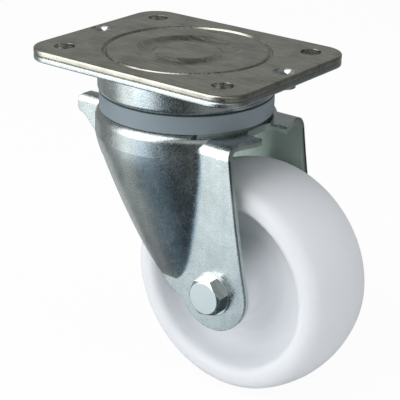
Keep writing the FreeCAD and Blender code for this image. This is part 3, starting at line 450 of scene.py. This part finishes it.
class CASTOR_OT_sheets(bpy.types.Operator):
    """Finishes the pressed sheets: the worn upper plate, the neck plate and the fork"""

    bl_idname = "castor.sheets"
    bl_label = "Plates and Fork"

    def execute(self, context):
        dress(worn_cover(context.scene.castor), "top_plate")
        dress(plated_sheet(context.scene.castor), "bearing_plate", "fork")
        return {"FINISHED"}


class CASTOR_OT_fasteners(bpy.types.Operator):
    """Finishes the rivets, the kingpin, the axle bolt, the nuts and the washers"""

    bl_idname = "castor.fasteners"
    bl_label = "Fasteners"

    def execute(self, context):
        dress(bright_metal(context.scene.castor),
              "plate_rivets", "kingpin", "kingpin_washer", "kingpin_nut", "axle_bolt",
              "axle_washers", "axle_nut", "thrust_washers")
        return {"FINISHED"}


class CASTOR_OT_bearings(bpy.types.Operator):
    """Finishes the balls, the rollers, their cages and races, and the nut's insert"""

    bl_idname = "castor.bearings"
    bl_label = "Bearings"

    def execute(self, context):
        dress(bearing_metal(context.scene.castor),
              "upper_balls", "lower_balls", "lower_race", "axle_sleeve", "hub_rollers")
        dress(cage_plastic(), "upper_ball_cage", "lower_ball_cage", "roller_cage", "nut_insert")
        return {"FINISHED"}


class CASTOR_OT_ring(bpy.types.Operator):
    """Finishes the grey dust ring"""

    bl_idname = "castor.ring"
    bl_label = "Dust Ring"

    def execute(self, context):
        dress(moulded_grey(context.scene.castor), "seal_ring")
        return {"FINISHED"}


class CASTOR_OT_wheel(bpy.types.Operator):
    """Finishes the wheel"""

    bl_idname = "castor.wheel"
    bl_label = "Wheel"

    def execute(self, context):
        dress(nylon(context.scene.castor), "wheel")
        return {"FINISHED"}


class CASTOR_OT_stage(bpy.types.Operator):
    """Adds the floor, the lights and the camera"""

    bl_idname = "castor.stage"
    bl_label = "Stage"

    def execute(self, context):
        scene = context.scene
        add_camera(scene)
        add_floor(scene)
        for name, light in SOFT_LIGHTS.items():
            add_soft_light(scene, name, *light)
        add_sky(scene)
        scene.view_settings.view_transform = "Standard"
        return {"FINISHED"}


def add_camera(scene):
    """The photograph's camera."""
    data = bpy.data.cameras.new("photo_camera")
    data.sensor_width = SENSOR_WIDTH
    data.lens = FOCAL_LENGTH_PIXELS / PHOTO_WIDTH * SENSOR_WIDTH
    data.clip_start = NEAREST_SEEN
    camera = bpy.data.objects.new("photo_camera", data)
    turn = Matrix((CAMERA_RIGHT, CAMERA_UP, CAMERA_BACK)).transposed()
    camera.matrix_world = Matrix.Translation(CAMERA_PLACE) @ turn.to_4x4()
    scene.collection.objects.link(camera)
    scene.camera = camera


def add_floor(scene):
    """A plain pale floor under the wheel, which the camera sees nearly white."""
    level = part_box("wheel")[0].z
    corners = [(side * FLOOR_REACH, end * FLOOR_REACH, level)
               for side, end in ((-1, -1), (1, -1), (1, 1), (-1, 1))]
    mesh = bpy.data.meshes.new("floor")
    mesh.from_pydata(corners, [], [(0, 1, 2, 3)])
    floor = bpy.data.objects.new("floor", mesh)
    scene.collection.objects.link(floor)
    material, graph = surface("floor")
    paper = graph.noise(graph.position(), waves=200.0)
    colour = graph.shades(paper, scene.castor.floor_colour, 0.99, 1.0)
    matte = graph.node("ShaderNodeBsdfDiffuse", {}, {"Color": colour})
    white = graph.node("ShaderNodeEmission", {}, {"Color": WHITE, "Strength": 1.0})
    both = graph.node("ShaderNodeMixShader", {}, {
        0: graph.ray("Camera") * FLOOR_WHITENESS, 1: matte, 2: white})
    graph.node("ShaderNodeOutputMaterial", {}, {"Surface": both})
    mesh.materials.append(material)
    floor.visible_glossy = False


def heading(turn, rise):
    """A direction from its compass turn, counted from +X towards +Y, and its rise."""
    turn, rise = math.radians(turn), math.radians(rise)
    level = math.cos(rise)
    return Vector((level * math.cos(turn), level * math.sin(turn), math.sin(rise)))


def add_soft_light(scene, name, place, size, share, mirrored):
    """A soft light that faces the castor, with a share of the key light's power."""
    data = bpy.data.lights.new(name, "AREA")
    data.shape = "RECTANGLE"
    data.size, data.size_y = size
    data.energy = scene.castor.key_power * share
    light = bpy.data.objects.new(name, data)
    turn, rise, distance = place
    away = heading(turn, rise)
    light.location = CASTOR_MIDDLE + away * distance
    light.rotation_euler = away.to_track_quat("Z", "Y").to_euler()
    light.visible_camera = False
    light.visible_glossy = mirrored
    scene.collection.objects.link(light)


def add_sky(scene):
    """An even light for the castor, white behind it, and a room with patches that the metal
    mirrors."""
    world = bpy.data.worlds.new("studio")
    world.use_nodes = True
    scene.world = world
    graph = Graph(world.node_tree)
    way = graph.node("ShaderNodeTexCoord", {}, {}, "Generated")

    def patch(turn, rise, inner, outer):
        edges = (math.cos(math.radians(outer)), math.cos(math.radians(inner)))
        return graph.rising(graph.along(way, heading(turn, rise)), *edges, soft=True)

    mirrored = ROOM_LEVEL
    for *place, change in ROOM_PATCHES:
        added = patch(*place) * change
        mirrored = mirrored + added if change > 0 else mirrored * (1 + added)
    camera, glossy, clear = (graph.ray(kind) for kind in ("Camera", "Glossy", "Transmission"))
    room_tint = graph.blend(patch(*ROOM_SHADE), ROOM_TINT, SHADE_TINT)
    seen = graph.node("ShaderNodeBackground", {}, {
        "Color": graph.blend(camera, room_tint, WHITE),
        "Strength": camera + (1 - camera) * mirrored})
    even = graph.node("ShaderNodeBackground", {}, {
        "Color": WHITE, "Strength": scene.castor.room_light})
    both = graph.node("ShaderNodeMixShader", {}, {0: camera + glossy + clear, 1: even, 2: seen})
    graph.node("ShaderNodeOutputWorld", {}, {"Surface": both})


STEPS = (CASTOR_OT_sheets, CASTOR_OT_fasteners, CASTOR_OT_bearings, CASTOR_OT_ring,
         CASTOR_OT_wheel, CASTOR_OT_stage)


class CASTOR_PT_panel(bpy.types.Panel):
    """Lists the steps that dress the castor, with their settings"""

    bl_idname = "CASTOR_PT_panel"
    bl_label = "Swivel Castor"
    bl_space_type = "VIEW_3D"
    bl_region_type = "UI"
    bl_category = "Castor"

    def draw(self, context):
        for name in CastorSettings.__annotations__:
            self.layout.prop(context.scene.castor, name)
        for step in STEPS:
            self.layout.operator(step.bl_idname)


CLASSES = (CastorSettings, *STEPS, CASTOR_PT_panel)


def register():
    for item in CLASSES:
        bpy.utils.register_class(item)
    bpy.types.Scene.castor = PointerProperty(type=CastorSettings)


def unregister():
    del bpy.types.Scene.castor
    for item in reversed(CLASSES):
        bpy.utils.unregister_class(item)


def main():
    register()
    for step in STEPS:
        group, name = step.bl_idname.split(".")
        getattr(getattr(bpy.ops, group), name)()


if __name__ == "__main__":
    main()
